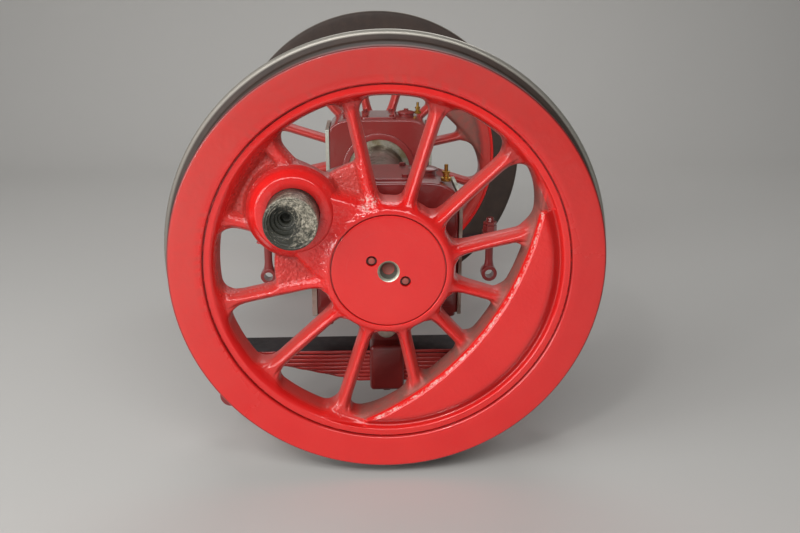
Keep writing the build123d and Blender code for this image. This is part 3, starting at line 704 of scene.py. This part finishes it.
# Side, top and sloping shoulder, run into one line by a sum of high powers
walls = [along / BOX_HALF, up / BOX_HALF, (0.5547 * along + 0.8321 * up) / 238.5]
top_line = sum(w ** 26 for w in walls) ** (-1 / 26) * np.exp(1j * over)
legs = np.linspace(FOOT_Z, -0.5, 16) * 1j
box_outer = np.concatenate([-BOX_HALF + legs, top_line, (BOX_HALF + legs)[::-1]])
box_inner = np.concatenate([-JAW_HALF + legs, BORE_R * np.exp(1j * over), (JAW_HALF + legs)[::-1]])
COLLAR = [(117.2, -1), (117.2, 4.6), (118.4, 6), (136, 6), (138.4, 5), (139.6, 2.6), (140, -1)]
OIL_LID = [
    (0, -4), (30, -4), (30, 8), (34, 9), (34.6, 11), (34, 14), (31, 15.6), (22, 18.6), (10, 20.2), (0, 20.6),
]
COVER_FOOT, COVER_TOP = 186.0, 197.0
cover_at = BOX_MIDDLE * 1j
cover_line = rounded(66, 96, 16, 56, cover_at)
box_grids = [slab(box_inner, box_outer, BOX_IN, BOX_OUT, 6.0, closed=False)]
for place, way in ((BOX_OUT, 1), (BOX_IN, -1)):
    box_grids.append(turned([(r, way * h) for r, h in COLLAR], 96, (0.0, place, 0.0), 1))
for x in (-108, 108):
    box_grids.append(turned(OIL_LID, 40, (x, BOX_MIDDLE, BOX_HALF)))
    box_grids.append(hex_nut(9, 7, (x, BOX_MIDDLE, BOX_HALF + 20)))
box_grids.append(slab(cover_at, cover_line, COVER_FOOT, COVER_TOP, 3.0, lay=(0, 1, 2)))
for y in (-78, 78):
    for x in (-50, 50):
        box_grids.append(hex_nut(9, 8, (x, BOX_MIDDLE + y, COVER_TOP - 0.5)))
for x in (-BOLT_X, BOLT_X):
    box_grids.append(slab(0.0, rounded(24, 128, 10, 40, x - 24j), BOX_OUT - 3, BOX_OUT + 5, 2.4))
brass = machined_steel("turned_brass", "#cda552", "#8d733c", 0.32, 2)
UNION = [
    (0, 0), (13, 0), (14, 1), (14, 9), (11, 10), (8, 11), (8, 20), (10.5, 20.6), (10.5, 26), (5, 27), (5, 44),
    (0, 44),
]
for side in SIDES:
    box = make_mesh(f"axlebox_{side}_casting", mirrored(box_grids, side), 34.0)
    fit(box, "running_gear", [f"axlebox_{side}"], [gear_enamel])
    union_grids = mirrored([turned(UNION, 24, (BOLT_X, BOX_MIDDLE + 80.0, COVER_FOOT))], side)
    union = make_mesh(f"oil_union_{side}", union_grids, 34.0)
    union.data.materials.append(brass)
    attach(union, "running_gear")

# Guide liners. They are flat bars of hard steel, screwed to both sides of the box where it slides in the
# engine's frame, and worn bright.
liner_steel = machined_steel("rubbed_liner_steel", "#d3d4c8", "#b9b9ab", 0.5, 2)
LINER_THICK = 10.0
liner_at = BOX_MIDDLE - 10j
liner_line = rounded(122, 165, 4, 32, liner_at)
for side in SIDES:
    liner_grids = []
    for edge in (-1, 1):
        near, far = edge * BOX_HALF, edge * (BOX_HALF + LINER_THICK)
        liner_grids.append(slab(liner_at, liner_line, near, far, 1.6, lay=(1, 2, 0)))
    liners = make_mesh(f"guide_liners_{side}_bars", mirrored(liner_grids, side), 34.0)
    fit(liners, "running_gear", [f"guide_liners_{side}"], [liner_steel])

# Ties under the boxes. Each is a thick forged plate that closes the box's legs, held by four bolts, with two
# lugs below that take the spring's pin.
TIE_FOOT, PIN_Z, LUG_R, PIN_HOLE_R = -200.0, -238.0, 34.0, 20.0
BOLT_END = [(0, -8), (9, -8), (10, -6.6), (10, 2), (0, 2)]


def pin_lug(half_width, length, way, middle, half_thick, bevel):
    """A lug round the spring's pin: a circle of LUG_R that grows into a box, up or down. At turn t the box's
    line is ((|cos t| / half width)^7 + (|sin t| / length)^7)^(-1/7) away from the pin."""
    turn = np.radians(np.arange(72) * 5)
    across, along = np.abs(np.cos(turn)), way * np.sin(turn)
    box_reach = ((across / half_width) ** 7 + (np.maximum(along, 0) / length) ** 7) ** (-1 / 7)
    reach = LUG_R + (np.where(along > 0, box_reach, LUG_R) - LUG_R) * ease(along / 0.35)
    hole, line = (PIN_Z * 1j + radius * np.exp(1j * turn) for radius in (PIN_HOLE_R, reach))
    return slab(hole, line, middle - half_thick, middle + half_thick, bevel)


plate_at = BOX_MIDDLE * 1j
plate_line = rounded(BOX_HALF, 75, 14, 72, plate_at)
tie_grids = [slab(plate_at, plate_line, TIE_FOOT, FOOT_Z, 5.0, lay=(0, 1, 2))]
for y in (-40, 40):
    tie_grids.append(pin_lug(40, 46, 1, BOX_MIDDLE + y, 12, 3.0))
for x in (-BOLT_X, BOLT_X):
    for y in (-44, 44):
        tie_grids.append(hex_nut(19, 16, (x, BOX_MIDDLE + y, TIE_FOOT - 16)))
        tie_grids.append(turned(BOLT_END, 20, (x, BOX_MIDDLE + y, TIE_FOOT - 18), closed=False))
for side in SIDES:
    tie = make_mesh(f"axlebox_tie_{side}_plate", mirrored(tie_grids, side), 34.0)
    fit(tie, "running_gear", [f"axlebox_tie_{side}"], [gear_enamel])

# Spring pins. Each is a plain turned pin with a flat head, pushed through the lugs, and held by a washer and
# a split pin.
LINK_PIN = [
    (0, 483), (17, 483), (19.8, 485.6), (19.8, 597.4), (26, 597.6), (28, 599), (28, 605), (26, 607), (0, 607),
]
WASHER = [(20, 489.4), (29, 489.4), (30, 490.2), (30, 492), (29, 492.8), (20, 492.8)]
SPLIT_PIN = [(0, -27), (1.6, -27), (2, -26), (2, 26), (1.6, 27), (0, 27)]
pin_grids = [
    turned(LINK_PIN, 48, (0.0, 0.0, PIN_Z), 1, closed=False),
    turned(WASHER, 48, (0.0, 0.0, PIN_Z), 1),
    turned(SPLIT_PIN, 12, (0.0, 486.4, PIN_Z), 0, closed=False),
]
for side in SIDES:
    link_pin = make_mesh(f"spring_pin_{side}_bar", mirrored(pin_grids, side), 34.0)
    fit(link_pin, "running_gear", [f"spring_pin_{side}"], [liner_steel])

# Leaf springs. Eight rolled spring-steel leaves, each shorter than the one above, are drawn thin at their
# ends. Their edges show as fine lines, with a dark gap between each two.
SPRING_TOP, LEAF_THICK, LEAF_HALF_WIDTH, HALF_GAP = -305.0, 12.0, 55.0, 0.35
LEAF_HALVES = [490.0 - k * 51.43 for k in range(8)]


def leaf(half_length, top):
    """A bar along the engine: at each station a rounded box, narrower and thinner over its last 55 mm."""
    x = half_length * np.sin(np.radians(np.linspace(-90, 90, 61)))
    near_end = ease((half_length - np.abs(x)) / 55)
    tip = ease((half_length - np.abs(x)) / 5)
    width = LEAF_HALF_WIDTH * (0.72 + 0.28 * near_end) * (0.86 + 0.14 * tip)
    half_thick = LEAF_THICK / 2 - HALF_GAP
    thick = half_thick * (0.62 + 0.38 * near_end) * (0.5 + 0.5 * tip)
    ring = np.exp(1j * np.radians((np.arange(32) + 0.5) * 360 / 32))
    width, thick = width[:, None], thick[:, None]
    edge = 0.72 * thick
    y = BOX_MIDDLE + np.sign(ring.real) * (width - edge) + edge * ring.real
    z = np.sign(ring.imag) * (thick - edge) + edge * ring.imag
    z = top - half_thick * 0.62 - (LEAF_THICK / 2) * 0.38 * near_end[:, None] + z
    points = np.stack([np.broadcast_to(x[:, None], y.shape), y, z], axis=-1)
    caps = [points[end].mean(axis=0) + 0 * points[end] for end in (0, -1)]
    return np.vstack([caps[:1], points, caps[1:]]), False, True


# A lighter red than the castings' enamel is painted light on the leaves; the near-black dust and grime colour
# is painted shade
leaf_enamel = red_enamel("red_enamel_on_spring_steel", "#cc2220", "#b0504b", "#231b1d", "#231b1d", 0.22)
leaf_grids = [leaf(half, SPRING_TOP - k * LEAF_THICK) for k, half in enumerate(LEAF_HALVES)]
leaf_heights = [points[..., 2] for points, _, _ in leaf_grids]
# Painted shade: the top of the pack is near black
grime_and_shade = [ease(z - z.max() + 1.2) * (z > SPRING_TOP - 13) for z in leaf_heights]
leaf_marks = {"grime_and_shade": grime_and_shade, "dust_and_painted_light": grime_and_shade}
for side in SIDES:
    leaves = make_mesh(f"spring_leaves_{side}_pack", mirrored(leaf_grids, side), 34.0, leaf_marks)
    fit(leaves, "running_gear", [f"spring_leaves_{side}"], [leaf_enamel])

# Spring buckles. Each is a forged band shrunk hot round the leaves, with an eye above for the pin and two
# screws below that hold a packing plate against the leaves.
band_at = -353j
band_line = rounded(48, 68, 12, 72, band_at)
buckle_grids = [slab(band_at, band_line, BOX_MIDDLE - 75, BOX_MIDDLE + 75, 9.0)]
buckle_grids.append(pin_lug(37, 60, -1, BOX_MIDDLE, 27, 3.5))
for y in (-34, 34):
    buckle_grids.append(hex_nut(17, 13, (0.0, BOX_MIDDLE + y, -433.6)))
for side in SIDES:
    buckle = make_mesh(f"spring_buckle_{side}_band", mirrored(buckle_grids, side), 34.0)
    fit(buckle, "running_gear", [f"spring_buckle_{side}"], [gear_enamel])

# Spring hangers. A forged eye bolt passes up through each end of the main leaf, and a saddle, a nut and a
# lock nut on its thread hold the leaf.
HANGER_EYE_Z, ROD_R, SADDLE_HEIGHT = SPRING_TOP - 150.0, 16.0, 24
NECK = [(0, 18), (19, 18), (20, 30), (18, 40), (16.2, 52), (ROD_R, 60), (ROD_R, 176), (0, 176)]
crests = [(ROD_R - 1.1 * (k % 2), 200 + k * 2.2) for k in range(14)]
THREAD = [(0, 170), (ROD_R, 170), *crests, (13.6, 232), (0, 232)]
ring = np.exp(1j * np.radians(np.arange(48) * 7.5))
hanger_grids = []
for x in (-450.0, 450.0):
    at = (x, BOX_MIDDLE, HANGER_EYE_Z)
    eye, saddle_at = x + HANGER_EYE_Z * 1j, x + BOX_MIDDLE * 1j
    saddle_line, saddle_top = rounded(28, 45, 9, 48, saddle_at), SPRING_TOP + SADDLE_HEIGHT
    hanger_grids += [
        slab(eye + 18 * ring, eye + 32 * ring, BOX_MIDDLE - 26, BOX_MIDDLE + 26, 4.0),
        turned(NECK, 32, at, closed=False),
        turned(THREAD, 32, at, closed=False),
        slab(saddle_at, saddle_line, SPRING_TOP, saddle_top, 4.0, lay=(0, 1, 2)),
        hex_nut(28, 28, (x, BOX_MIDDLE, saddle_top)),
        hex_nut(27, 14, (x, BOX_MIDDLE, saddle_top + 28.4)),
    ]
for side in SIDES:
    hangers = make_mesh(f"spring_hangers_{side}_bolts", mirrored(hanger_grids, side), 34.0)
    fit(hangers, "running_gear", [f"spring_hangers_{side}"], [gear_enamel])

# Bearing brasses and keeps. The brass is a cast bronze half shell, bored to the journal; the keep below is a
# cast-iron tray with an oiled wool pad. Both are as the CAD frame has them.
bronze = machined_steel("white_metalled_bronze", "#c9c6b8", "#8f8468", 0.4, 1)
iron = machined_steel("oily_cast_iron", "#57524b", "#2c2724", 0.6, 1)
for side in SIDES:
    for name, material in ((f"bearing_brass_{side}", bronze), (f"keep_{side}", iron)):
        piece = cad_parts[name]
        piece.data.materials.clear()
        piece.data.materials.append(material)

# Floor, light and camera. The pale floor bends up into a backdrop. Wide soft lamps stand for a bright sky in
# front, at the left and behind, and small ones for the glints. The camera looks from where the photograph
# was taken, turned to the wheel, with a longer lens. Sizes here are in metres.
FLOOR_Z, BEND_Y, BEND_R = -0.5785, 3.2, 1.6
scene = bpy.context.scene
floor_material, tree, shader = new_material("pale_studio_floor")
set_sockets(tree, shader, {"Base Color": linear("#c6c4c0"), "Roughness": 0.85})
sweep = np.linspace(0, math.pi / 2, 13)[1:]
bend = [(BEND_Y + BEND_R * math.sin(a), BEND_R - BEND_R * math.cos(a)) for a in sweep]
back = [(-6.0, 0.0), (BEND_Y, 0.0), *bend, (BEND_Y + BEND_R, 6.0)]
floor_mesh = bpy.data.meshes.new("studio_floor")
floor_points = [(x, y, FLOOR_Z + z) for x in (-9.0, 9.0) for y, z in back]
count = len(back)
floor_mesh.from_pydata(floor_points, [], [(i, count + i, count + i + 1, i + 1) for i in range(count - 1)])
floor_mesh.shade_smooth()
floor = bpy.data.objects.new("studio_floor", floor_mesh)
scene.collection.objects.link(floor)
floor.data.materials.append(floor_material)

world = scene.world or bpy.data.worlds.new("studio_sky")
scene.world = world
world.use_nodes = True
sky = world.node_tree.nodes["Background"].inputs
set_sockets(world.node_tree, sky, {"Color": linear("#f1f4f8"), "Strength": 0.09})

# Each lamp's name, place, point it faces, width, height and power in watts
for name, place, aim, width, height, power in (
    ("soft_sky", (-0.6, -4.6, 2.1), (0.0, -0.7, 0.0), 8.0, 5.0, 26.0),
    ("bright_sky", (-0.8, -4.4, 3.7), (0.0, -0.7, 0.0), 7.0, 1.8, 174.0),
    ("left_sky", (-4.0, -2.4, 1.3), (0.0, -0.7, 0.0), 2.4, 2.8, 70.0),
    ("left_front", (-3.2, -4.6, 0.9), (0.0, -0.8, 0.0), 0.3, 2.4, 40.0),
    ("front_key", (-1.8, -4.9, 3.6), (0.0, -0.6, 0.0), 0.5, 0.35, 34.0),
    ("back_sky", (0.5, 3.6, 4.4), (0.0, 1.4, 0.0), 5.0, 3.0, 90.0),
):
    lamp = bpy.data.lights.new(name, "AREA")
    lamp.shape, lamp.size, lamp.size_y, lamp.energy = "RECTANGLE", width, height, power
    light = bpy.data.objects.new(name, lamp)
    light.location = place
    aim_at = [a - b for a, b in zip(aim, place)]
    light.rotation_euler = Vector(aim_at).to_track_quat("-Z", "Y").to_euler()
    scene.collection.objects.link(light)

camera = bpy.data.objects.new("camera", bpy.data.cameras.new("camera"))
scene.collection.objects.link(camera)
camera.data.lens, camera.data.sensor_width = 40.0, 36.0
camera.location = (-0.0586, -2.9196, 0.6892)
aim_at = Vector((0.03, -0.78, 0.0)) - camera.location
camera.rotation_mode = "QUATERNION"
camera.rotation_quaternion = aim_at.to_track_quat("-Z", "Y")
scene.camera = camera
scene.view_settings.view_transform = "Standard"
